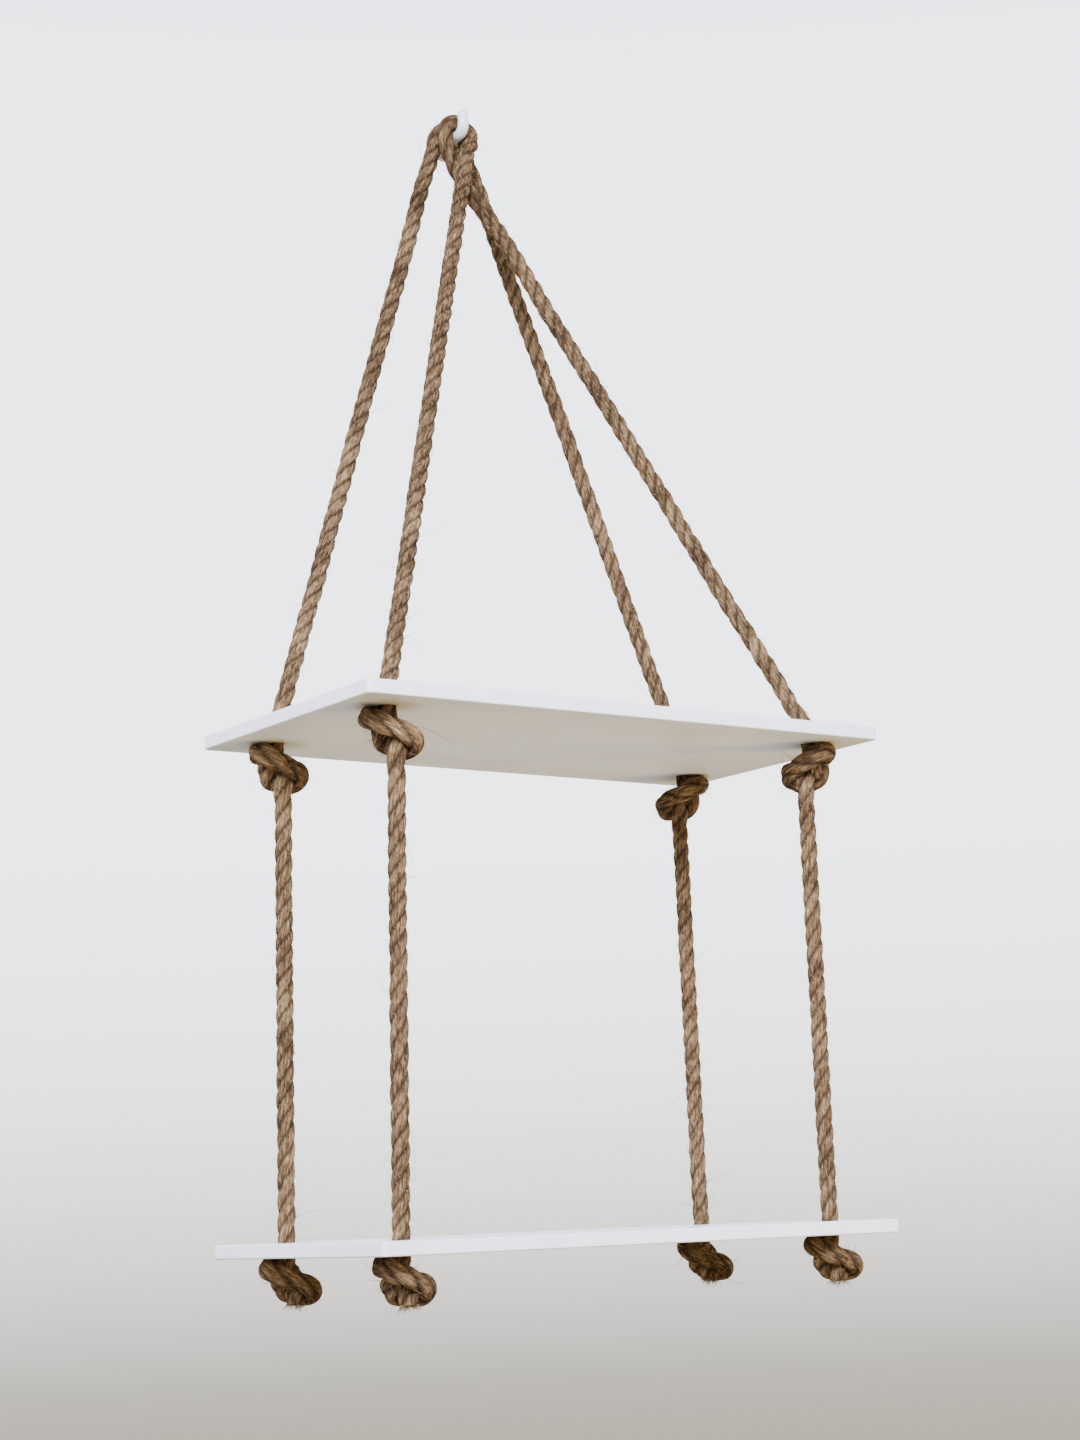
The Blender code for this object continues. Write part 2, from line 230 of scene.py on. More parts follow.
@dataclass(frozen=True)
class JuteYarn:
    """Natural jute, spun into yarns, laid into strands and left undyed.

    It gives a dull, straw-brown rope whose yarns run almost along it, streaked and mottled like
    any plant fibre, with dark flecks of bark and painted shade darkening the grooves. It has no sheen.

    Attributes hold hex colours, and sizes in millimetres as (across the yarns, along them).
    """

    stops: tuple[tuple[float, str], ...] = (
        (0.32, "21180F"), (0.44, "4A3725"), (0.54, "70583E"), (0.64, "957856"), (0.76, "CAB08B"))
    # Colour of the painted shade in the grooves between the strands.
    groove: str = "211810"
    bark: str = "2B1A0D"
    # Coarser than a real fibre, which is 0.06 mm across and would blur to one tone.
    fibre_mm: tuple[float, float] = (0.22, 6.0)
    yarn_mm: tuple[float, float] = (0.95, 14.0)
    mottle_mm: tuple[float, float] = (1.5, 3.4)
    fleck_mm: tuple[float, float] = (0.8, 2.8)
    fibre_share: float = 0.62
    mottle_amount: float = 0.42
    weather_amount: float = 0.32
    relief_mm: float = 0.16
    roughness: float = 0.92

    def streaks(self, tree: bpy.types.NodeTree, size: tuple[float, float], detail: float,
                roughness: float = 0.5) -> bpy.types.NodeSocket:
        """A noise stretched along the yarns, read from the rope's own UV map.

        Args:
            tree: the node tree.
            size: millimetres across and along the yarns.
            detail: how many finer layers it has.
            roughness: how strong the finer layers are.

        Returns:
            The noise between 0 and 1.
        """
        place = add_node(tree, "ShaderNodeUVMap", {"uv_map": "yarn"}).outputs["UV"]
        scale = (1 / (size[0] * MM), 1 / (size[1] * MM), 1.0)
        stretched = add_node(tree, "ShaderNodeMapping", {"Scale": scale}, {"Vector": place})
        noise = add_node(tree, "ShaderNodeTexNoise",
                         {"Scale": 1.0, "Detail": detail, "Roughness": roughness},
                         {"Vector": stretched.outputs["Vector"]})
        return noise.outputs["Fac"]

    def build(self) -> bpy.types.Material:
        """Make the material, which reads the rope's own UV map and its groove attribute.

        Returns:
            The finished material.
        """
        material, tree, shader = new_material("natural_jute_three_strand")
        yarns = add_node(tree, "ShaderNodeMath", {"operation": "MULTIPLY", 1: 1.0 - self.fibre_share},
                         {0: self.streaks(tree, self.yarn_mm, 2.0)})
        blend = add_node(tree, "ShaderNodeMath", {"operation": "MULTIPLY_ADD", 1: self.fibre_share},
                         {0: self.streaks(tree, self.fibre_mm, 5.0, 0.6), 2: yarns.outputs["Value"]})
        weathered = add_node(tree, "ShaderNodeTexNoise", {"Scale": 55.0, "Detail": 2.0},
                             {"Vector": add_node(tree, "ShaderNodeTexCoord").outputs["Object"]})
        middle = (self.weather_amount + self.mottle_amount) / 2
        drift = add_node(tree, "ShaderNodeMath",
                         {"operation": "MULTIPLY_ADD", 1: self.weather_amount, 2: -middle},
                         {0: weathered.outputs["Fac"]})
        tone = add_node(tree, "ShaderNodeMath", {"operation": "ADD"},
                        {0: blend.outputs["Value"], 1: drift.outputs["Value"]})
        mottled = add_node(tree, "ShaderNodeMath", {"operation": "MULTIPLY_ADD", 1: self.mottle_amount},
                           {0: self.streaks(tree, self.mottle_mm, 3.0, 0.65), 2: tone.outputs["Value"]})
        clean = add_ramp(tree, mottled.outputs["Value"], list(self.stops))
        bark = add_node(tree, "ShaderNodeMapRange", {"From Min": 0.64, "From Max": 0.72, "To Max": 0.75},
                        {"Value": self.streaks(tree, self.fleck_mm, 1.0)})
        body = add_node(tree, "ShaderNodeMix", {"data_type": "RGBA", 7: linear(self.bark)},
                        {0: bark.outputs["Result"], 6: clean}).outputs[2]
        # Painted shade: the groove attribute darkens the colour towards the grooves between strands.
        depth = add_node(tree, "ShaderNodeAttribute", {"attribute_name": "groove"}).outputs["Fac"]
        painted_groove_shade = add_node(tree, "ShaderNodeMapRange", {"From Min": 0.52, "From Max": 1.0, "To Max": 0.76},
                        {"Value": depth})
        colour = add_node(tree, "ShaderNodeMix", {"data_type": "RGBA", 7: linear(self.groove)},
                          {0: painted_groove_shade.outputs["Result"], 6: body})
        bump = add_node(tree, "ShaderNodeBump", {"Strength": 0.75, "Distance": self.relief_mm * MM},
                        {"Height": blend.outputs["Value"]})
        tree.links.new(colour.outputs[2], shader.inputs["Base Color"])
        tree.links.new(bump.outputs["Normal"], shader.inputs["Normal"])
        shader.inputs["Roughness"].default_value = self.roughness
        shader.inputs["Specular IOR Level"].default_value = 0.08
        return material


@dataclass(frozen=True)
class LooseFibre:
    """Single jute fibres that stand off the rope, dull and of the same browns as its body."""

    light: str = "AD9572"
    dark: str = "67502F"

    def build(self) -> bpy.types.Material:
        """Make the material.

        Returns:
            The finished material.
        """
        material, tree, shader = new_material("loose_jute_fibre")
        place = add_node(tree, "ShaderNodeTexCoord").outputs["Object"]
        spots = add_node(tree, "ShaderNodeTexNoise", {"Scale": 160.0, "Detail": 1.0}, {"Vector": place})
        colour = add_ramp(tree, spots.outputs["Fac"], [(0.38, self.dark), (0.62, self.light)])
        tree.links.new(colour, shader.inputs["Base Color"])
        shader.inputs["Roughness"].default_value = 0.85
        shader.inputs["Specular IOR Level"].default_value = 0.15
        return material


@dataclass(frozen=True)
class CoatedSteel:
    """Bent steel under a white powder coat, which gives a smooth skin with a slight orange peel."""

    colour: str = "F2F2F2"
    peel_mm: float = 1.1

    def build(self) -> bpy.types.Material:
        """Make the material.

        Returns:
            The finished material.
        """
        material, tree, shader = new_material("white_powder_coated_steel")
        place = add_node(tree, "ShaderNodeTexCoord").outputs["Object"]
        peel = add_node(tree, "ShaderNodeTexNoise", {"Scale": 1 / (self.peel_mm * MM), "Detail": 1.0},
                        {"Vector": place})
        gloss = add_node(tree, "ShaderNodeMapRange", {"To Min": 0.22, "To Max": 0.36},
                         {"Value": peel.outputs["Fac"]})
        bump = add_node(tree, "ShaderNodeBump", {"Strength": 0.15, "Distance": 0.05 * MM},
                        {"Height": peel.outputs["Fac"]})
        tree.links.new(gloss.outputs["Result"], shader.inputs["Roughness"])
        tree.links.new(bump.outputs["Normal"], shader.inputs["Normal"])
        shader.inputs["Base Color"].default_value = linear(self.colour)
        return material


@dataclass(frozen=True)
class PaleFloor:
    """A plain matt studio floor."""

    colour: str = "B4A888"
    shade: str = "AEA282"

    def build(self) -> bpy.types.Material:
        """Make the material.

        Returns:
            The finished material.
        """
        material, tree, shader = new_material("pale_floor")
        place = add_node(tree, "ShaderNodeTexCoord").outputs["Object"]
        spots = add_node(tree, "ShaderNodeTexNoise", {"Scale": 0.8}, {"Vector": place})
        colour = add_ramp(tree, spots.outputs["Fac"], [(0.3, self.shade), (0.7, self.colour)])
        tree.links.new(colour, shader.inputs["Base Color"])
        shader.inputs["Roughness"].default_value = 0.9
        return material


def unit(vectors: Array) -> Array:
    """Scale vectors to length one."""
    return vectors / np.linalg.norm(vectors, axis=-1, keepdims=True)


def smooth_steps(value: Array, low: float, high: float) -> Array:
    """Ease a value from 0 at low to 1 at high: three times the share squared less twice its cube."""
    share = np.clip((value - low) / (high - low), 0.0, 1.0)
    return share * share * (3.0 - 2.0 * share)


def grid_quads(rows: int, columns: int, wrap: bool = True) -> Array:
    """Corner numbers of the quads between neighbouring rows of a grid of points.

    Args:
        rows: number of rows, one row after another in the point list.
        columns: points in a row.
        wrap: whether the last column joins the first.

    Returns:
        An array of four corner numbers a quad, facing out of a tube whose columns turn
        counter-clockwise about the direction that the rows advance in.
    """
    row = np.arange(rows - 1)[:, None] * columns
    here = np.arange(columns if wrap else columns - 1)[None, :]
    beside = (here + 1) % columns
    corners = np.stack((row + here, row + beside, row + columns + beside, row + columns + here), axis=-1)
    return corners.reshape(-1, 4)


def mesh_object(name: str, points: Array, faces: list[Array], material: bpy.types.Material,
                crisp_degrees: float = 60.0) -> bpy.types.Object:
    """Put arrays of points and faces into a mesh object at the origin.

    Args:
        name: the piece's name.
        points: an n by 3 array.
        faces: arrays of corner numbers, one array for each number of corners.
        material: the piece's finish.
        crisp_degrees: edges that turn more than this stay sharp in the shading.

    Returns:
        The linked object.
    """
    loops = np.concatenate([part.reshape(-1) for part in faces])
    counts = np.concatenate([np.full(len(part), part.shape[1]) for part in faces])
    starts = np.concatenate(([0], np.cumsum(counts)[:-1]))
    mesh = bpy.data.meshes.new(name)
    mesh.vertices.add(len(points))
    mesh.vertices.foreach_set("co", points.astype(np.float32).reshape(-1))
    mesh.loops.add(len(loops))
    mesh.loops.foreach_set("vertex_index", loops.astype(np.int32))
    mesh.polygons.add(len(counts))
    mesh.polygons.foreach_set("loop_start", starts.astype(np.int32))
    mesh.update(calc_edges=True)
    mesh.validate()
    mesh.shade_smooth()
    mesh.set_sharp_from_angle(angle=math.radians(crisp_degrees))
    mesh.materials.append(material)
    item = bpy.data.objects.new(name, mesh)
    bpy.context.scene.collection.objects.link(item)
    return item


@dataclass
class Board:
    """One painted board with eased edges and four rope holes.

    Attributes:
        level: which of the two boards it is.
        paint: its material.
        corner_radius: roundness of the four upright corners.
        edge_radius: roundness of the long edges.
        rim_radius: roundness of the hole rims.
    """

    level: Level
    paint: bpy.types.Material
    corner_radius: float = 2.5 * MM
    edge_radius: float = 0.9 * MM
    rim_radius: float = 0.45 * MM
    corner_steps: int = 10
    edge_steps: int = 6
    hole_sides: int = 64

    def outline(self, inset: Array) -> Array:
        """The board's outline, drawn in by some distances.

        Each corner is a quarter circle about its own centre, whose radius shrinks by the inset.

        Args:
            inset: distances inward, shape (rows,).

        Returns:
            Points across and out, shape (rows, columns, 2).
        """
        turn = np.linspace(0.0, math.pi / 2, self.corner_steps)
        quarter = np.arange(4)[:, None] * math.pi / 2
        angle = (quarter + turn).reshape(-1)
        half = np.array((SIZES.length, SIZES.depth)) / 2 - self.corner_radius
        signs = np.array(((1.0, 1.0), (-1.0, 1.0), (-1.0, -1.0), (1.0, -1.0)))
        centres = np.repeat(signs * half, self.corner_steps, axis=0)
        spokes = np.stack((np.cos(angle), np.sin(angle)), axis=-1)
        points = centres[None] + (self.corner_radius - inset)[:, None, None] * spokes[None]
        return points + np.array((0.0, -SIZES.depth / 2))

    def edge_profile(self) -> tuple[Array, Array]:
        """Inset and height along the edge, from the underside round to the top.

        The edge is two quarter circles joined by the flat side, with one more ring of points on
        each flat face so that the faces stay level in the shading.

        Returns:
            Insets and heights above the underside.
        """
        radius = self.edge_radius
        turn = np.linspace(0.0, math.pi / 2, self.edge_steps)
        inset = radius * (1.0 - np.sin(turn))
        height = radius * (1.0 - np.cos(turn))
        flat = 1.4 * radius
        insets = np.concatenate(([flat], inset, inset[::-1], [flat]))
        heights = np.concatenate(([0.0], height, SIZES.thickness - height[::-1], [SIZES.thickness]))
        return insets, heights

    def slab(self) -> bpy.types.Object:
        """The board before it is drilled: its outline carried through the edge profile.

        Returns:
            The slab.
        """
        insets, heights = self.edge_profile()
        flat = self.outline(insets)
        rows, columns = flat.shape[:2]
        height = np.broadcast_to((SIZES.underside(self.level) + heights)[:, None, None], (rows, columns, 1))
        points = np.concatenate((flat, height), axis=-1).reshape(-1, 3)
        bottom = np.arange(columns)[::-1][None]
        top = ((rows - 1) * columns + np.arange(columns))[None]
        faces = [grid_quads(rows, columns), bottom, top]
        return mesh_object(f"{self.level.value}_board_painted", points, faces, self.paint, 40.0)

    def cutter(self, row: Row, side: Side) -> bpy.types.Object:
        """A turned cutter for one hole, which flares by a quarter circle at each face.

        Args:
            row: front or back holes.
            side: left or right.

        Returns:
            The cutter object.
        """
        turn = np.linspace(0.0, math.pi / 2, self.edge_steps)
        flare = self.rim_radius * (1.0 - np.cos(turn))
        rise = self.rim_radius * (1.0 - np.sin(turn))
        over = 2.0 * MM
        radius = SIZES.hole_diameter / 2 + np.concatenate(
            ([self.rim_radius], flare[::-1], flare, [self.rim_radius]))
        height = np.concatenate(
            ([-over], rise[::-1], SIZES.thickness - rise, [SIZES.thickness + over]))
        angle = np.arange(self.hole_sides) * 2 * math.pi / self.hole_sides
        ring = np.stack((np.cos(angle), np.sin(angle)), axis=-1)
        flat = SIZES.hole(row, side) + radius[:, None, None] * ring[None]
        rows, columns = flat.shape[:2]
        level = np.broadcast_to((SIZES.underside(self.level) + height)[:, None, None], (rows, columns, 1))
        points = np.concatenate((flat, level), axis=-1).reshape(-1, 3)
        caps = [np.arange(columns)[::-1][None], ((rows - 1) * columns + np.arange(columns))[None]]
        return mesh_object("hole_cutter", points, [grid_quads(rows, columns)] + caps, self.paint)

    def build(self) -> bpy.types.Object:
        """Cut the slab, drill it and let it stand for its solid.

        Returns:
            The drilled board.
        """
        slab = self.slab()
        cutters = [self.cutter(row, side) for row in Row for side in Side]
        for number, cutter in enumerate(cutters):
            drill = slab.modifiers.new(f"hole {number}", "BOOLEAN")
            drill.operation = "DIFFERENCE"
            drill.solver = "EXACT"
            drill.object = cutter
        level_faces = slab.modifiers.new("level faces", "WEIGHTED_NORMAL")
        level_faces.keep_sharp = True
        drilled = bpy.data.meshes.new_from_object(
            slab.evaluated_get(bpy.context.evaluated_depsgraph_get()))
        blank = slab.data
        slab.modifiers.clear()
        slab.data = drilled
        bpy.data.meshes.remove(blank)
        for cutter in cutters:
            bpy.data.objects.remove(cutter, do_unlink=True)
        slab.data.name = slab.name
        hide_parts(f"{self.level.value}_board")
        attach(slab, BODY)
        return slab


@dataclass
class Hook:
    """The wall hook: a small round plate and one prong that reaches out and turns up.

    Attributes:
        coating: its material.
    """

    coating: bpy.types.Material
    plate_radius: float = 9.0 * MM
    plate_thickness: float = 2.0 * MM
    plate_edge: float = 0.8 * MM
    fillet: float = 1.6 * MM
    prong_radius: float = 3.0 * MM
    bend_radius: float = 5.5 * MM
    reach: float = 22.5 * MM
    tip_height: float = 10.0 * MM
    sides: int = 40
    steps: int = 12

    def stations(self) -> tuple[Array, Array, Array]:
        """Distance out, height and radius of each ring, from the plate's back to the tip.

        The plate's edge and the fillet to the prong are quarter circles, the bend is a quarter
        circle in the upright plane, and the tip is half a ball.

        Returns:
            Ring centres (out, up), their headings as angles above level, and their radii.
        """
        turn = np.linspace(0.0, math.pi / 2, self.steps)
        zero = np.zeros(self.steps)
        plate_out = self.plate_thickness - self.plate_edge * (1.0 - np.sin(turn))
        plate_radius = self.plate_radius - self.plate_edge * (1.0 - np.cos(turn))
        fillet_out = self.plate_thickness + self.fillet * (1.0 - np.cos(turn))
        fillet_radius = self.prong_radius + self.fillet * (1.0 - np.sin(turn))
        bend_out = self.reach - self.bend_radius * (1.0 - np.sin(turn))
        bend_up = self.bend_radius * (1.0 - np.cos(turn))
        tip_turn = turn[:-1]
        tip_up = self.tip_height + self.prong_radius * np.sin(tip_turn)
        out = np.concatenate(([0.0], plate_out, fillet_out, bend_out, np.full(len(tip_turn), self.reach)))
        up = np.concatenate(([0.0], zero, zero, bend_up, tip_up))
        heading = np.concatenate(([0.0], zero, zero, turn, np.full(len(tip_turn), math.pi / 2)))
        radius = np.concatenate(([self.plate_radius], plate_radius, fillet_radius,
                                 np.full(self.steps, self.prong_radius),
                                 self.prong_radius * np.cos(tip_turn)))
        return np.stack((out, up), axis=-1), heading, radius

    def build(self) -> bpy.types.Object:
        """Carry a circle through the stations and close both ends.

        A ring's point is its centre, plus the radius times the cosine across, plus the radius
        times the sine at right angles to the ring's heading.

        Returns:
            The hook.
        """
        centre, heading, radius = self.stations()
        angle = np.arange(self.sides) * 2 * math.pi / self.sides
        across = radius[:, None] * np.cos(angle)
        rise = radius[:, None] * np.sin(angle)
        x = across
        y = -(centre[:, :1] - rise * np.sin(heading)[:, None])
        z = centre[:, 1:] + rise * np.cos(heading)[:, None]
        rows = len(radius)
        points = np.stack((x, y, z), axis=-1).reshape(-1, 3)
        tip = np.array(((0.0, -self.reach, self.tip_height + self.prong_radius),))
        ring = np.arange(self.sides)
        last = (rows - 1) * self.sides + ring
        cap = np.stack((last, np.roll(last, -1), np.full(self.sides, len(points))), axis=-1)
        faces = [grid_quads(rows, self.sides), ring[::-1][None], cap]
        hook = mesh_object("wall_hook_coated", np.concatenate((points, tip)), faces, self.coating, 50.0)
        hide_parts("wall_hook")
        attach(hook, BODY)
        return hook


@dataclass(frozen=True)
class Knot:
    """How one overhand knot sits under its board: turned about the vertical, and its hand."""

    turn_degrees: float
    mirrored: bool = False


KNOTS: dict[tuple[Level, Row, Side], Knot] = {
    (Level.UPPER, Row.FRONT, Side.LEFT): Knot(165.0),
    (Level.UPPER, Row.BACK, Side.LEFT): Knot(185.0),
    (Level.UPPER, Row.FRONT, Side.RIGHT): Knot(100.0, mirrored=True),
    (Level.UPPER, Row.BACK, Side.RIGHT): Knot(120.0, mirrored=True),
    (Level.LOWER, Row.FRONT, Side.LEFT): Knot(190.0),
    (Level.LOWER, Row.BACK, Side.LEFT): Knot(170.0),
    (Level.LOWER, Row.FRONT, Side.RIGHT): Knot(175.0),
    (Level.LOWER, Row.BACK, Side.RIGHT): Knot(160.0),
}


@dataclass(frozen=True)
class Route:
    """The middle line of one rope, from its left cut end over the hook to its right one.

    The rows of half_turns are half of an overhand knot in rope diameters, across, forward and up
    from the knot's middle. Half a turn about the forward axis carries this half onto the other.
    The rows of at_hook are metres across, out and up.
    """

    row: Row
    at_hook: tuple[tuple[float, float, float], ...]
    half_turns: tuple[tuple[float, float, float], ...] = (
        (0.00, 0.54, 0.00),
        (-0.96, 0.41, -0.38),
        (-1.39, -0.42, -0.80),
        (-0.90, -1.31, -0.90),
        (0.07, -1.44, -0.62),
        (0.55, -0.82, 0.00),
        (0.30, -0.37, 0.80),
    )
    top: tuple[float, float, float] = (0.24, -0.31, 1.40)
    half_height: float = 0.915 + 0.50
    tail_end: float = 1.42
    hole_shares: tuple[float, ...] = (0.15, 0.90)
    between_boards: tuple[float, ...] = (0.06, 0.35, 0.65, 0.90, 0.975)
    up_to_hook: tuple[float, ...] = (0.035, 0.075, 0.16, 0.40, 0.70, 0.90)

    def knot(self, level: Level, side: Side) -> Array:
        """Middle line of one knot from bottom to top, seated under its board.

        Its half turns and their turned copy are mirrored if the knot is, turned about the
        vertical, scaled by the rope's diameter and moved under the hole.

        Args:
            level: which board it sits under.
            side: left or right leg.

        Returns:
            Points in metres.
        """
        seat = KNOTS[level, self.row, side]
        upper = np.array(self.half_turns + (self.top,))
        lower = upper[:0:-1] * (-1.0, 1.0, -1.0)
        hand = np.array((-1.0 if seat.mirrored else 1.0, 1.0, 1.0))
        spin = np.array(Matrix.Rotation(math.radians(seat.turn_degrees), 3, "Z"))
        shape = np.concatenate((lower, upper)) * hand @ spin.T * SIZES.rope_diameter
        across, out = SIZES.hole(self.row, side)
        middle = SIZES.underside(level) - SIZES.gap - self.half_height * SIZES.rope_diameter
        lean = shape[-1] * (1.0, 1.0, 0.0)
        return shape - lean + np.array((across, out, middle))

    def hole(self, level: Level, side: Side) -> Array:
        """Two points straight up through a board's hole.

        Args:
            level: which board.
            side: left or right leg.

        Returns:
            Points in metres.
        """
        heights = SIZES.underside(level) + np.array(self.hole_shares) * SIZES.thickness
        flat = np.broadcast_to(SIZES.hole(self.row, side), (len(heights), 2))
        return np.column_stack((flat, heights))

    def leg(self, side: Side) -> Array:
        """One leg, from its cut end under the lower board up to the hook.

        A point of a straight is its lower end plus a share of the way to its upper end.

        Args:
            side: left or right leg.

        Returns:
            Points in metres.
        """
        lower, upper = self.knot(Level.LOWER, side), self.knot(Level.UPPER, side)
        lower_hole, upper_hole = self.hole(Level.LOWER, side), self.hole(Level.UPPER, side)
        last_turn = self.half_turns[-1][2]
        reach = (self.tail_end - last_turn) / (self.top[2] - last_turn)
        tail = lower[1] + (lower[0] - lower[1]) * reach
        hook_end = np.array(self.at_hook[0 if side is Side.LEFT else -1])
        shares = np.array(self.between_boards)[:, None]
        drop = lower_hole[-1] + shares * (upper[0] - lower_hole[-1])
        shares = np.array(self.up_to_hook)[:, None]
        rise = upper_hole[-1] + shares * (hook_end - upper_hole[-1])
        return np.concatenate((tail[None], lower[1:-1], lower_hole, drop, upper[1:-1], upper_hole, rise))

    def points(self) -> Array:
        """All the route's points from the left cut end to the right one."""
        return np.concatenate((self.leg(Side.LEFT), np.array(self.at_hook), self.leg(Side.RIGHT)[::-1]))


BACK_ROUTE = Route(Row.BACK, (
    (-0.0160, -0.0083, -0.0220),
    (-0.0106, -0.0072, -0.0075),
    (-0.0070, -0.0068, 0.0028),
    (0.0000, -0.0068, 0.0075),
    (0.0070, -0.0068, 0.0028),
    (0.0106, -0.0072, -0.0075),
    (0.0160, -0.0083, -0.0220),
))
FRONT_ROUTE = Route(Row.FRONT, (
    (-0.0155, -0.0389, -0.0550),
    (-0.0040, -0.0280, -0.0250),
    (0.0036, -0.0213, -0.0085),
    (0.0074, -0.0172, 0.0010),
    (0.0045, -0.0156, 0.0062),
    (0.0000, -0.0154, 0.0077),
    (-0.0047, -0.0154, 0.0060),
    (-0.0074, -0.0154, -0.0005),
    (-0.0056, -0.0156, -0.0100),
    (0.0010, -0.0172, -0.0250),
    (0.0148, -0.0304, -0.0550),
))


def smooth_route(points: Array, per_span: int = 40) -> Array:
    """A natural cubic spline through the points, over their summed chord lengths.

    The second derivatives solve the usual three-term equations with none at the two ends. Each
    span is then the chord plus width squared over six times the cubed shares of both bends.

    Args:
        points: the route's points.
        per_span: samples on each span.

    Returns:
        The sampled curve.
    """
    chord = np.linalg.norm(np.diff(points, axis=0), axis=1)
    slope = np.diff(points, axis=0) / chord[:, None]
    inner = chord[1:-1]
    matrix = np.diag(2.0 * (chord[:-1] + chord[1:])) + np.diag(inner, 1) + np.diag(inner, -1)
    bend = np.zeros_like(points)
    bend[1:-1] = np.linalg.solve(matrix, 6.0 * np.diff(slope, axis=0))
    share = np.linspace(0.0, 1.0, per_span, endpoint=False)[None, :, None]
    rest = 1.0 - share
    width = chord[:, None, None]
    line = rest * points[:-1, None] + share * points[1:, None]
    sag = (rest ** 3 - rest) * bend[:-1, None] + (share ** 3 - share) * bend[1:, None]
    curve = (line + width ** 2 / 6.0 * sag).reshape(-1, 3)
    return np.concatenate((curve, points[-1:]))


def even_steps(curve: Array, step: float, tight_step: float) -> tuple[Array, Array]:
    """Points along a curve, closer together where it bends tightly.

    The running sum of each small length over the step wanted there counts the points.

    Args:
        curve: the sampled curve.
        step: distance on straights.
        tight_step: distance where the bend radius is 10 mm or less.

    Returns:
        The points and their distances along the curve.
    """
    length = np.linalg.norm(np.diff(curve, axis=0), axis=1)
    arc = np.concatenate(([0.0], np.cumsum(length)))
    tangent = np.gradient(curve, arc, axis=0)
    curvature = np.linalg.norm(np.gradient(tangent, arc, axis=0), axis=1)
    wanted = step + (tight_step - step) * smooth_steps(curvature, 10.0, 100.0)
    counted = np.concatenate(([0.0], np.cumsum(length / ((wanted[1:] + wanted[:-1]) / 2))))
    places = np.interp(np.linspace(0.0, counted[-1], int(round(counted[-1])) + 1), counted, arc)
    return np.stack([np.interp(places, arc, curve[:, axis]) for axis in range(3)], axis=1), places


def carried_frames(centres: Array) -> tuple[Array, Array, Array]:
    """Tangent, normal and binormal along a path, with no twist of their own.

    Any normal is taken at each ring. Turning each one with the tangent onto the next ring shows
    by what angle the next ring's normal is off, and the running sum of these angles takes the
    twist out.

    Args:
        centres: ring centres.

    Returns:
        Three arrays of unit vectors.
    """
    tangent = unit(np.gradient(centres, axis=0))
    axis = np.eye(3)[np.argmin(np.abs(tangent), axis=1)]
    start = unit(axis - np.sum(axis * tangent, axis=1, keepdims=True) * tangent)
    side = np.cross(tangent, start)
    turn = np.cross(tangent[:-1], tangent[1:])
    closeness = 1.0 + np.sum(tangent[:-1] * tangent[1:], axis=1, keepdims=True)
    once = np.cross(turn, start[:-1])
    carried = start[:-1] + once + np.cross(turn, once) / closeness
    off = np.arctan2(np.sum(carried * side[1:], axis=1), np.sum(carried * start[1:], axis=1))
    angle = np.concatenate(([0.0], np.cumsum(off)))[:, None]
    normal = np.cos(angle) * start + np.sin(angle) * side
    return tangent, normal, np.cross(tangent, normal)


def running_mean(values: Array, width: int) -> Array:
    """Even a row of values with a bell-shaped window of some width."""
    window = np.hanning(width)
    return np.convolve(values, window / window.sum(), mode="same")


def wander(along: Array, seed: int, shortest: float, count: int = 9) -> Array:
    """A smooth, slow unevenness between about -1 and 1 along a length.

    It is a sum of sines whose wavelengths run from the shortest to twelve times that.

    Args:
        along: distances along the rope.
        seed: which unevenness.
        shortest: the shortest wavelength.
        count: how many sines.

    Returns:
        The unevenness at each distance.
    """
    dice = np.random.default_rng(seed)
    lengths = shortest * 12.0 ** dice.random(count)
    phases = dice.random(count) * 2 * math.pi
    return np.sin(2 * math.pi * along[:, None] / lengths + phases).sum(axis=1) / math.sqrt(count)


@dataclass(frozen=True)
class FibreKind:
    """One kind of loose fibre: how many, and the least and greatest length and radius.

    A real one is about 0.06 mm thick. These are drawn two to six times coarser than that, so that
    they still show at the photograph's distance.
    """

    count: int
    length_mm: tuple[float, float]
    radius_mm: tuple[float, float]


class FibreRoots(NamedTuple):
    """Loose fibres before they curl: where each starts, its directions, its rise and its size.

    The starts and directions have shape (fibres, 3) and the other arrays (fibres,).
    """

    base: Array
    out: Array
    ahead: Array
    lift: Array
    length: Array
    radius: Array


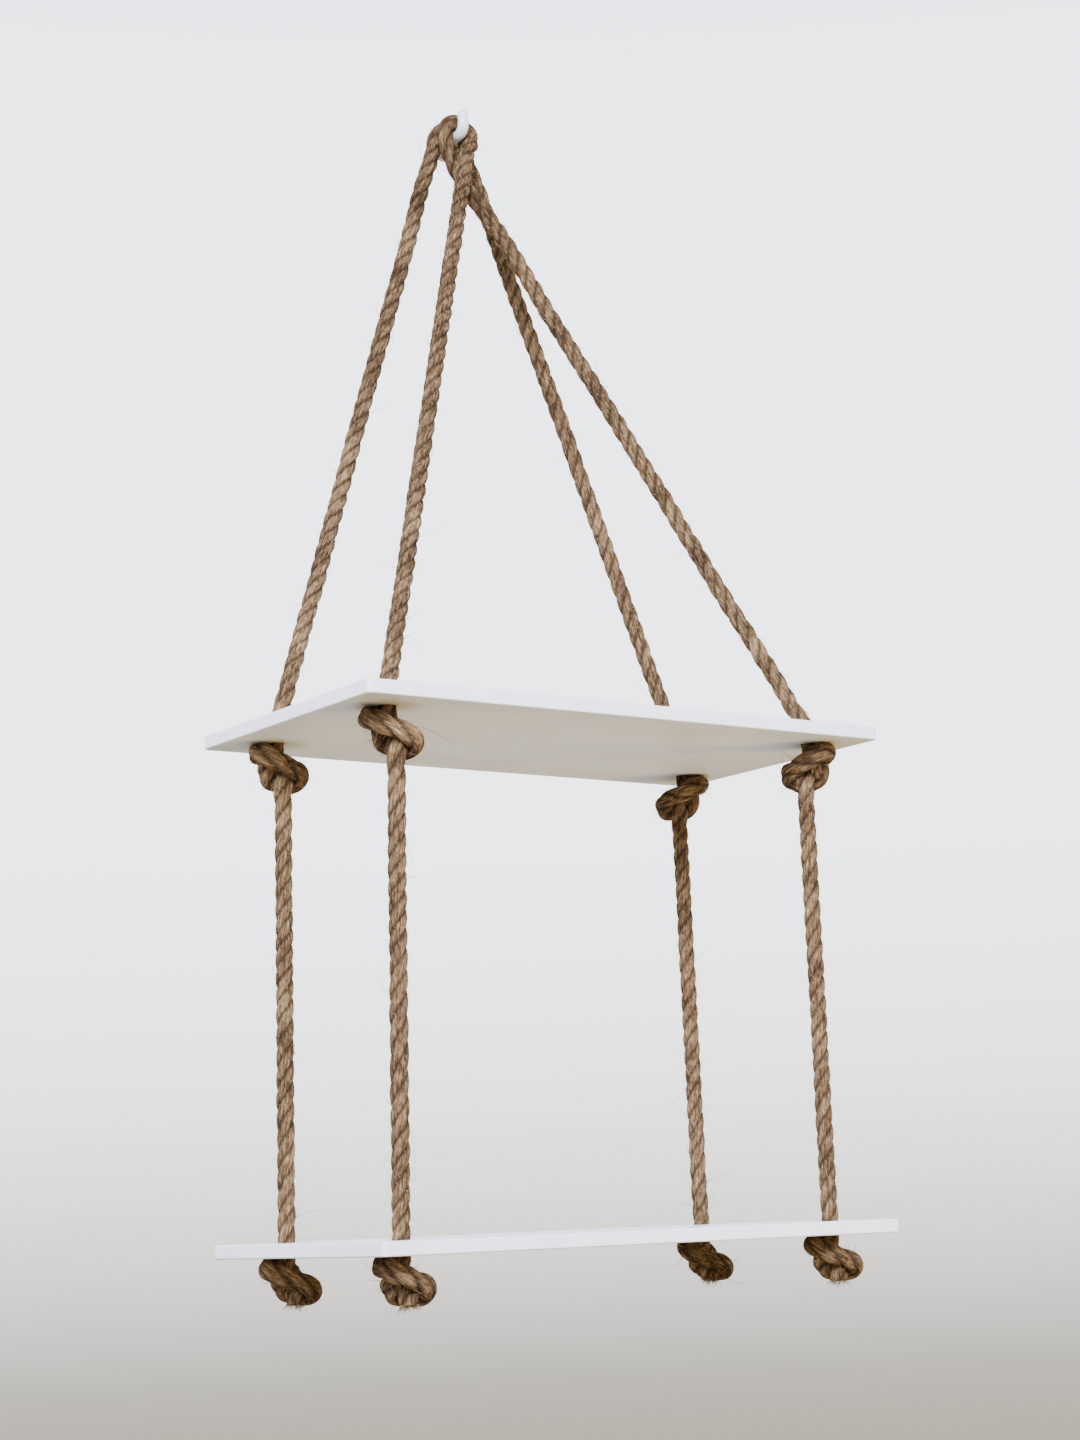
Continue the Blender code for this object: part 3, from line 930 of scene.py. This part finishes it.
@dataclass
class Rope:
    """One three-strand jute rope with its knots, its turn at the hook and two cut ends.

    Attributes:
        route: its middle line.
        jute: the strands' material.
        fibre: the material of the fibres that stand off it.
        seed: which unevenness and fibres it gets.
        strand_radius: radius of one strand.
        strand_offset: distance of a strand's middle from the rope's.
        lay: length in which the strands turn once round the rope.
        step: distance between rings on a straight, and tight_step in a tight bend.
        yarn_pitch: distance between the ridges of the yarns, and yarn_relief their height.
        tight_bend: curvatures per metre at which a bend starts to count as tight and fully does.
        pressed_bend: the same for the turns of a knot that press on each other.
        knot_spread: how far a tight turn spreads sideways, and knot_swell how far all round.
        free_below: how far under a board the turns of its knot begin to flatten each other.
        hole_share: share of a hole's radius that the rope may fill.
        squeeze: how far past a board's faces the squeeze of its hole starts to fade and ends.
        bearing_gap: air between a knot and the board that rests on it.
        counter_twist: how nearly the yarns' twist undoes the lay, 1 being quite along the rope.
        fullness_share: slow unevenness of a strand's radius, and lump_share the quick one.
        sway: how far the rope wavers off its route.
        crown: how far the cut ends bulge.
        short_fibres: the many that stand off it, and long_fibres the few.
        end_fibres: those of each frayed cut end.
    """

    route: Route
    jute: bpy.types.Material
    fibre: bpy.types.Material
    seed: int
    strand_radius: float = 3.12 * MM
    strand_offset: float = 1.38 * MM
    lay: float = 30.0 * MM
    columns_per_strand: int = 24
    step: float = 1.7 * MM
    tight_step: float = 0.9 * MM
    yarn_pitch: float = 1.15 * MM
    yarn_relief: float = 0.10 * MM
    tight_bend: tuple[float, float] = (15.0, 70.0)
    pressed_bend: tuple[float, float] = (15.0, 75.0)
    knot_spread: float = 0.22
    knot_swell: float = 0.02
    free_below: float = 4.3 * MM
    hole_share: float = 0.975
    squeeze: tuple[float, float] = (0.6 * MM, 2.6 * MM)
    bearing_gap: float = 0.12 * MM
    counter_twist: float = 0.86
    fullness_share: float = 0.030
    lump_share: float = 0.014
    sway: float = 0.08 * MM
    crown: float = 0.9 * MM
    short_fibres: FibreKind = FibreKind(2600, (1.4, 5.2), (0.07, 0.12))
    long_fibres: FibreKind = FibreKind(130, (6.0, 14.0), (0.12, 0.19))
    end_fibres: FibreKind = FibreKind(150, (1.2, 4.2), (0.09, 0.19))
    centres: Array = field(init=False)
    places: Array = field(init=False)
    tightness: Array = field(init=False)
    frames: tuple[Array, Array, Array] = field(init=False)

    def __post_init__(self) -> None:
        """Work out the ring centres, their frames and where the rope is bent tightly."""
        curve = smooth_route(self.route.points())
        self.centres, self.places = even_steps(curve, self.step, self.tight_step)
        self.frames = carried_frames(self.centres)
        curvature = np.linalg.norm(np.gradient(self.frames[0], self.places, axis=0), axis=1)
        tight = smooth_steps(curvature, *self.tight_bend)
        self.tightness = np.clip(1.15 * running_mean(tight, 15), 0.0, 1.0)

    @property
    def name(self) -> str:
        """The rope's node name."""
        return f"{self.route.row.value}_rope"

    @property
    def length(self) -> float:
        """Real length along the middle line, in metres."""
        return float(self.places[-1])

    def wanders(self, numbers: tuple[int, ...], shortest: float) -> Array:
        """Some unevennesses along the rope, one column for each number."""
        return np.stack([wander(self.places, self.seed + number, shortest) for number in numbers], axis=1)

    def laid_angle(self) -> Array:
        """How far the strands have turned at each ring.

        It is the running sum of a full turn over the lay. The lay opens a little where the rope is
        bent tightly in a knot, and it is never quite even.

        Returns:
            An angle for each ring.
        """
        rate = 2 * math.pi / self.lay * (1.0 - 0.2 * self.tightness)
        rate = rate * (1.0 + 0.10 * self.wanders((7,), 40 * MM)[:, 0])
        steps = np.diff(self.places) * (rate[1:] + rate[:-1]) / 2
        return np.concatenate(([0.0], np.cumsum(steps)))

    def strand_grid(self) -> tuple[Array, Array, float]:
        """Angle round each strand, and where its yarns lie.

        The yarns of a strand are twisted against the lay of the rope, so that on the outside they
        run almost along the rope.

        Returns:
            The strand angles, including the last column; the yarn coordinate in metres, shape
            (rings, strands, columns); and the half angle at which two strands meet.
        """
        meet = math.atan2(self.valley() * math.sin(math.pi / 3),
                          self.valley() * math.cos(math.pi / 3) - self.strand_offset)
        around = np.linspace(-meet, meet, self.columns_per_strand + 1)
        laid = self.laid_angle()
        reach = self.strand_offset + self.strand_radius
        carried = self.counter_twist * reach / self.strand_radius * laid
        yarn = self.strand_radius * (around[None, None, :] + carried[:, None, None])
        apart = np.arange(3)[None, :, None] * 13.7 * MM
        return around, yarn + apart, meet

    def valley(self) -> float:
        """Distance from the rope's middle to the groove where two strands meet.

        Half the strand's offset, plus the root of the strand's radius squared less its lift squared.

        Returns:
            The distance in metres.
        """
        half = self.strand_offset * math.cos(math.pi / 3)
        lift = self.strand_offset * math.sin(math.pi / 3)
        return half + math.sqrt(self.strand_radius ** 2 - lift ** 2)

    def surface(self) -> tuple[Array, Array, Array, Array]:
        """The strands' surface: three circle arcs, turned by the lay and carried along the route.

        A ring's point is the strand's centre plus the strand's radius in the direction of its
        own angle. Low ridges follow the yarns, and each strand is a little fuller or thinner
        from place to place. Both fade out at the grooves, where neighbours share a point.

        Returns:
            Points (rings, columns, 3), outward normals of the same shape, the yarn coordinate
            (rings, strands, columns + 1) and the groove value of each column.
        """
        around, yarn, meet = self.strand_grid()
        inner = around[:-1]
        fade = np.cos(inner / meet * math.pi / 2) ** 0.5
        ridge = np.abs(np.sin(math.pi * yarn[:, :, :-1] / self.yarn_pitch)) - 0.6
        fullness = self.wanders((0, 11, 22), 18 * MM)[:, :, None]
        lumps = self.wanders((41, 42, 43), 3.5 * MM)[:, :, None]
        uneven = (self.fullness_share * fullness + self.lump_share * lumps) * fade
        own = self.strand_radius * (1.0 + uneven) + self.yarn_relief * ridge * fade
        lobe = np.arange(3)[None, :, None] * 2 * math.pi / 3 + self.laid_angle()[:, None, None]
        heading = lobe + inner
        flat_x = self.strand_offset * np.cos(lobe) + own * np.cos(heading)
        flat_y = self.strand_offset * np.sin(lobe) + own * np.sin(heading)
        rings, columns = len(self.centres), 3 * self.columns_per_strand
        flat = np.stack((flat_x, flat_y), axis=-1).reshape(rings, columns, 2)
        _, normal, side = self.frames
        flat = flat + self.sway * self.wanders((3, 5), 22 * MM)[:, None, :]
        spokes = flat[..., :1] * normal[:, None] + flat[..., 1:] * side[:, None]
        spokes = spokes + np.einsum("rij,rcj->rci", self.knot_pressure(), spokes)
        points = self.seated(self.centres[:, None] + spokes)
        facing = np.stack((np.cos(heading), np.sin(heading)), axis=-1).reshape(rings, columns, 2)
        outward = facing[..., :1] * normal[:, None] + facing[..., 1:] * side[:, None]
        groove = np.tile(np.abs(inner / meet), 3)
        return points, outward, yarn, groove

    def knot_pressure(self) -> Array:
        """How the turns of a knot flatten each other.

        A tight turn spreads along the axis it bends about and swells a little all round. The
        spread is the product of that axis with itself, so that it passes smoothly through the
        places where the bend changes sides, and a running mean along the rope evens it.

        Returns:
            A 3 by 3 matrix for each ring, which is added to a spoke when it is multiplied by it.
        """
        tangent = self.frames[0]
        bend = np.gradient(tangent, self.places, axis=0)
        amount = np.linalg.norm(bend, axis=1)[:, None]
        inward = bend / np.maximum(amount, 1e-6)
        about = np.cross(tangent, inward)
        share = smooth_steps(amount, *self.pressed_bend)[:, :, None]
        share = share * (self.centres[:, 2] < SIZES.underside(Level.UPPER))[:, None, None]
        spread = self.knot_spread * about[:, :, None] * about[:, None, :]
        raw = (share * (spread + self.knot_swell * np.eye(3))).reshape(-1, 9)
        evened = np.stack([running_mean(raw[:, cell], 13) for cell in range(9)], axis=1)
        clear = np.ones(len(self.centres))
        for level in Level:
            below = SIZES.underside(level) - self.centres[:, 2]
            inside = (below > -SIZES.thickness - 3 * MM) & (below < self.free_below)
            clear = np.where(inside, smooth_steps(below, 0.5 * MM, self.free_below), clear)
        return (evened * clear[:, None]).reshape(-1, 3, 3)

    def seated(self, points: Array) -> Array:
        """Press the rope where the boards hold it.

        Outside its hole, no point of the rope rises past a hair under a board. Inside the board
        no point lies further from the hole's axis than a share of the hole's radius, and this
        squeeze fades out over two millimetres above and below.

        Args:
            points: the surface's points (rings, columns, 3).

        Returns:
            The points, pressed down where they bear.
        """
        pressed = points.copy()
        limit = self.hole_share * SIZES.hole_diameter / 2
        for level in Level:
            middle = SIZES.underside(level) + SIZES.thickness / 2
            past = np.abs(self.centres[:, 2] - middle) - SIZES.thickness / 2
            hold = 1.0 - smooth_steps(past, *self.squeeze)
            for side in Side:
                spoke = pressed[..., :2] - SIZES.hole(self.route.row, side)
                away = np.linalg.norm(spoke, axis=-1)
                near = away < SIZES.hole_diameter
                excess = np.where(near, np.maximum(away - limit, 0.0), 0.0) * hold[:, None]
                pressed[..., :2] -= spoke * (excess / np.maximum(away, 1e-6))[..., None]
            holes = np.stack([SIZES.hole(self.route.row, side) for side in Side])
            away = np.linalg.norm(pressed[..., None, :2] - holes, axis=-1).min(axis=-1)
            stop = SIZES.underside(level) - self.bearing_gap
            bears = (away > limit + 0.02 * MM) & (np.abs(pressed[..., 2] - stop) < 3.0 * MM)
            pressed[..., 2] = np.where(bears, np.minimum(pressed[..., 2], stop), pressed[..., 2])
        return pressed

    def caps(self, points: Array) -> tuple[Array, list[Array]]:
        """Close both cut ends with a low crown.

        Args:
            points: the surface's points (rings, columns, 3).

        Returns:
            The two middle points and the triangles that fan to them.
        """
        rings, columns = points.shape[:2]
        tangent = self.frames[0]
        middles = np.stack((self.centres[0] - self.crown * tangent[0],
                            self.centres[-1] + self.crown * tangent[-1]))
        first = np.arange(columns)
        last = (rings - 1) * columns + first
        count = rings * columns
        start = np.stack((np.roll(first, -1), first, np.full(columns, count)), axis=-1)
        end = np.stack((last, np.roll(last, -1), np.full(columns, count + 1)), axis=-1)
        return middles, [start, end]

    def write_yarn_map(self, mesh: bpy.types.Mesh, yarn: Array) -> None:
        """Store the yarn coordinate and the distance along the rope as the UV map "yarn".

        Args:
            mesh: the rope's mesh, whose quads come first.
            yarn: the yarn coordinate (rings, strands, columns + 1).
        """
        rings = len(self.places)
        low, high = yarn[:, :, :-1].reshape(rings, -1), yarn[:, :, 1:].reshape(rings, -1)
        along = np.broadcast_to(self.places[:, None], low.shape)
        corners = ((low[:-1], along[:-1]), (high[:-1], along[:-1]), (high[1:], along[1:]),
                   (low[1:], along[1:]))
        quads = np.stack([np.stack(pair, axis=-1) for pair in corners], axis=2).reshape(-1, 2)
        layer = mesh.uv_layers.new(name="yarn")
        values = np.zeros((len(mesh.loops), 2), dtype=np.float32)
        values[:len(quads)] = quads
        layer.data.foreach_set("uv", values.reshape(-1))

    def build_strands(self) -> bpy.types.Object:
        """Returns:
            The rope's body.
        """
        points, _, yarn, groove = self.surface()
        rings, columns = points.shape[:2]
        middles, fans = self.caps(points)
        everything = np.concatenate((points.reshape(-1, 3), middles))
        rope = mesh_object(f"{self.name}_strands", everything, [grid_quads(rings, columns)] + fans,
                           self.jute, 65.0)
        self.write_yarn_map(rope.data, yarn)
        depth = rope.data.attributes.new("groove", "FLOAT", "POINT")
        # The middle point of each cut end takes a groove value of 0.6, which the painted groove shade
        # darkens a little.
        at_caps = (0.6, 0.6)
        values = np.concatenate((np.tile(groove, rings), at_caps)).astype(np.float32)
        depth.data.foreach_set("value", values)
        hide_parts(self.name)
        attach(rope, BODY)
        return rope

    def side_fibres(self, dice: np.random.Generator) -> FibreRoots:
        """Fibres all over the rope, that start under its surface and leave it at a low angle.

        Args:
            dice: the random numbers.

        Returns:
            Where they start and how they leave.
        """
        kinds = (self.short_fibres, self.long_fibres)
        points, outward, _, _ = self.surface()
        tangent = self.frames[0]
        rings, columns = points.shape[:2]
        count = sum(kind.count for kind in kinds)
        ring = dice.integers(2, rings - 2, count)
        column = dice.integers(0, columns, count)
        out = outward[ring, column]
        ahead = tangent[ring] * dice.choice((-1.0, 1.0), count)[:, None]
        lift = np.radians(dice.uniform(12.0, 60.0, count))
        length = np.concatenate([dice.uniform(*kind.length_mm, kind.count) for kind in kinds]) * MM
        radius = np.concatenate([dice.uniform(*kind.radius_mm, kind.count) for kind in kinds]) * MM
        return FibreRoots(points[ring, column] - 0.15 * MM * out, out, ahead, lift, length, radius)

    def frayed_ends(self, dice: np.random.Generator) -> FibreRoots:
        """Fibres that start all over both cuts and fan out.

        Args:
            dice: the random numbers.

        Returns:
            Where they start and how they leave.
        """
        kind = self.end_fibres
        tangent, normal, side = self.frames
        end = np.repeat((0, len(self.centres) - 1), kind.count)
        away = np.where(end == 0, -1.0, 1.0)[:, None] * tangent[end]
        angle = dice.uniform(0.0, 2 * math.pi, len(end))[:, None]
        spoke = np.cos(angle) * normal[end] + np.sin(angle) * side[end]
        reach = self.strand_offset + self.strand_radius - 0.5 * MM
        share = np.sqrt(dice.uniform(0.0, 1.0, len(end)))
        base = self.centres[end] + share[:, None] * reach * spoke - 0.4 * MM * away
        lift = np.radians(5.0 + 38.0 * share)
        length = dice.uniform(*kind.length_mm, len(end)) * MM
        radius = dice.uniform(*kind.radius_mm, len(end)) * MM
        return FibreRoots(base, spoke, away, lift, length, radius)

    def fibre_lines(self) -> tuple[Array, Array]:
        """Middle lines and radii of the loose fibres.

        Each leaves its root in a direction between ahead and out, swayed aside, and curls by a
        quadratic bend, the more the longer it is.

        Returns:
            Lines (fibres, points, 3) and the radius of each fibre.
        """
        dice = np.random.default_rng(self.seed)
        places = (self.side_fibres(dice), self.frayed_ends(dice))
        roots = FibreRoots(*(np.concatenate(arrays) for arrays in zip(*places)))
        count = len(roots.length)
        aside = np.cross(roots.ahead, roots.out)
        sway = dice.normal(0.0, 0.35, count)[:, None]
        rise = roots.lift[:, None]
        start = unit(np.cos(rise) * roots.ahead + np.sin(rise) * roots.out + sway * aside)
        curl = unit(dice.normal(0.0, 1.0, (count, 3)) - 0.5 * roots.out)
        curl = curl * (dice.uniform(0.3, 1.4, count) * (1.0 + roots.length / (11 * MM)))[:, None]
        share = np.linspace(0.0, 1.0, 7)[None, :, None]
        path = share * start[:, None] + 0.5 * share ** 2 * curl[:, None]
        lines = roots.base[:, None] + roots.length[:, None, None] * path
        keep = self.clear_of_neighbours(lines)
        return lines[keep], roots.radius[keep]

    def clear_of_neighbours(self, lines: Array) -> Array:
        """Which fibres stay out of the boards, in front of y = 0 and near the solids' own height.

        Args:
            lines: fibre lines (fibres, points, 3).

        Returns:
            True for each fibre to keep.
        """
        height = lines[..., 2]
        lowest, highest = self.centres[:, 2].min() - 8 * MM, self.centres[:, 2].max() + 7 * MM
        keep = np.all((lines[..., 1] < -0.3 * MM) & (height > lowest) & (height < highest), axis=1)
        for level in Level:
            low = SIZES.underside(level) - 0.2 * MM
            high = SIZES.underside(level) + SIZES.thickness + 0.2 * MM
            keep &= np.all((height < low) | (height > high), axis=1)
            keep &= ~(np.any(height < low, axis=1) & np.any(height > high, axis=1))
        return keep

    def build_fibres(self) -> bpy.types.Object:
        """Give each fibre line three sides and a fine tip, and join them as one piece.

        A point is the line's own point plus the narrowing radius in the direction of its side.

        Returns:
            The fibres as one piece.
        """
        lines, radius = self.fibre_lines()
        count, rows = lines.shape[:2]
        sides = 3
        direction = unit(np.gradient(lines, axis=1))
        axis = np.eye(3)[np.argmin(np.abs(direction[:, 0]), axis=1)][:, None]
        first = unit(np.cross(direction, axis))
        second = np.cross(direction, first)
        taper = np.linspace(1.0, 0.35, rows)[None, :, None, None]
        angle = (np.arange(sides) * 2 * math.pi / sides)[None, None, :, None]
        ring = np.cos(angle) * first[:, :, None] + np.sin(angle) * second[:, :, None]
        points = lines[:, :, None] + radius[:, None, None, None] * taper * ring
        per_fibre = rows * sides
        shift = (np.arange(count) * per_fibre)[:, None, None]
        quads = (grid_quads(rows, sides)[None] + shift).reshape(-1, 4)
        root = np.array(((2, 1, 0),))[None] + shift
        tip = np.array(((0, 1, 2),))[None] + (rows - 1) * sides + shift
        faces = [quads, root.reshape(-1, 3), tip.reshape(-1, 3)]
        fibres = mesh_object(f"{self.name}_fibres", points.reshape(-1, 3), faces, self.fibre, 180.0)
        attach(fibres, BODY)
        return fibres

    def build(self) -> list[bpy.types.Object]:
        """Make the strands and the fibres that stand off them."""
        return [self.build_strands(), self.build_fibres()]


@dataclass(frozen=True)
class PhotoCamera:
    """The camera at the photograph's place, as fitted to the boards' corners and the ropes.

    Angles are degrees, places metres, and pixels count in a frame of 1080 by 1440.
    """

    place: tuple[float, float, float] = (-0.7591, -1.2195, -0.5880)
    heading: float = 36.59
    rise: float = 6.40
    roll: float = -2.21
    focal_pixels: float = 2684.3
    middle: tuple[float, float] = (683.3, 903.8)
    frame_pixels: tuple[int, int] = (1080, 1440)
    sensor: float = 36.0

    def build(self) -> None:
        """Make the camera and set it as the scene's."""
        heading, rise, roll = (math.radians(angle) for angle in (self.heading, self.rise, self.roll))
        ahead = Vector((math.sin(heading) * math.cos(rise), math.cos(heading) * math.cos(rise),
                        math.sin(rise)))
        level = Vector((math.cos(heading), -math.sin(heading), 0.0))
        above = level.cross(ahead)
        right = math.cos(roll) * level + math.sin(roll) * above
        up = -math.sin(roll) * level + math.cos(roll) * above
        width, height = self.frame_pixels
        data = bpy.data.cameras.new("photo_camera")
        data.sensor_width = self.sensor
        data.lens = self.focal_pixels / height * self.sensor
        data.shift_x = -(self.middle[0] - width / 2) / height
        data.shift_y = (self.middle[1] - height / 2) / height
        data.dof.use_dof = False
        camera = bpy.data.objects.new("photo_camera", data)
        turn = Matrix((right, up, -ahead)).transposed()
        camera.matrix_world = Matrix.Translation(self.place) @ turn.to_4x4()
        bpy.context.scene.collection.objects.link(camera)
        bpy.context.scene.camera = camera


@dataclass(frozen=True)
class SoftLight:
    """One area light with a grid over it: its place, size, power, colour, spread and target."""

    name: str
    place: tuple[float, float, float]
    size: float
    power: float
    colour: str
    spread: float = 34.0
    target: tuple[float, float, float] = (0.0, -0.08, -0.40)

    def build(self) -> None:
        """Make the light."""
        data = bpy.data.lights.new(self.name, "AREA")
        data.shape = "SQUARE"
        data.size = self.size
        data.energy = self.power
        data.spread = math.radians(self.spread)
        data.color = linear(self.colour)[:3]
        light = bpy.data.objects.new(self.name, data)
        light.location = self.place
        aim = Vector(self.target) - Vector(self.place)
        light.rotation_euler = aim.to_track_quat("-Z", "Y").to_euler()
        bpy.context.scene.collection.objects.link(light)


@dataclass(frozen=True)
class Studio:
    """Plain pale surroundings: a floor well below the shelf, an even sky and soft lights.

    The sky's stops run from straight down at 0 over the horizon at 0.5 to straight up at 1. Below
    the horizon it has the tone of the lit floor, so that the floor's rim does not show.
    """

    floor_height: float = -1.65
    floor_radius: float = 9.0
    sky: tuple[tuple[float, str], ...] = (
        (0.00, "666256"), (0.445, "676358"), (0.47, "7A7770"), (0.50, "AEADAB"),
        (0.53, "D6D7DA"), (0.57, "ECEEF5"), (0.70, "EEF1FE"), (0.78, "60636B"), (1.00, "38393E"))
    sky_strength: float = 4.2
    lights: tuple[SoftLight, ...] = (
        SoftLight("daylight", (-1.25, -1.90, 0.60), 0.9, 11.0, "DDE8FF"),
        SoftLight("low_lamp", (0.70, -0.65, -1.15), 0.40, 0.36, "FFCB00"))

    def build(self) -> None:
        """Make the floor, the sky and the lights."""
        angle = np.arange(96) * 2 * math.pi / 96
        rim = self.floor_radius * np.stack((np.cos(angle), np.sin(angle)), axis=-1)
        points = np.column_stack((rim, np.full(len(rim), self.floor_height)))
        floor = mesh_object("floor", points, [np.arange(len(rim))[None]], PaleFloor().build())
        world = bpy.data.worlds.new("pale_sky")
        world.use_nodes = True
        bpy.context.scene.world = world
        tree = world.node_tree
        sky = tree.nodes["Background"]
        # Generated on a world is the direction looked in. No piece reads it.
        outward = add_node(tree, "ShaderNodeTexCoord").outputs["Generated"]
        rise = add_node(tree, "ShaderNodeSeparateXYZ", links={0: outward}).outputs["Z"]
        share = add_node(tree, "ShaderNodeMapRange", {"From Min": -1.0, "From Max": 1.0}, {"Value": rise})
        tree.links.new(add_ramp(tree, share.outputs["Result"], list(self.sky)), sky.inputs["Color"])
        sky.inputs["Strength"].default_value = self.sky_strength
        for light in self.lights:
            light.build()


def main() -> None:
    """Build the camera, the ropes, the boards, the hook and the studio, and report the pieces."""
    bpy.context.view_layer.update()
    PhotoCamera().build()
    jute = JuteYarn().build()
    fibre = LooseFibre().build()
    pieces: list[bpy.types.Object] = []
    for number, route in enumerate((FRONT_ROUTE, BACK_ROUTE)):
        pieces += Rope(route, jute, fibre, seed=100 * (number + 1)).build()
    paint = SatinPaint().build()
    pieces += [Board(level, paint).build() for level in Level]
    pieces.append(Hook(CoatedSteel().build()).build())
    for piece in pieces:
        LOG.info("%s: %d faces", piece.name, len(piece.data.polygons))
    Studio().build()


if __name__ == "__main__":
    main()
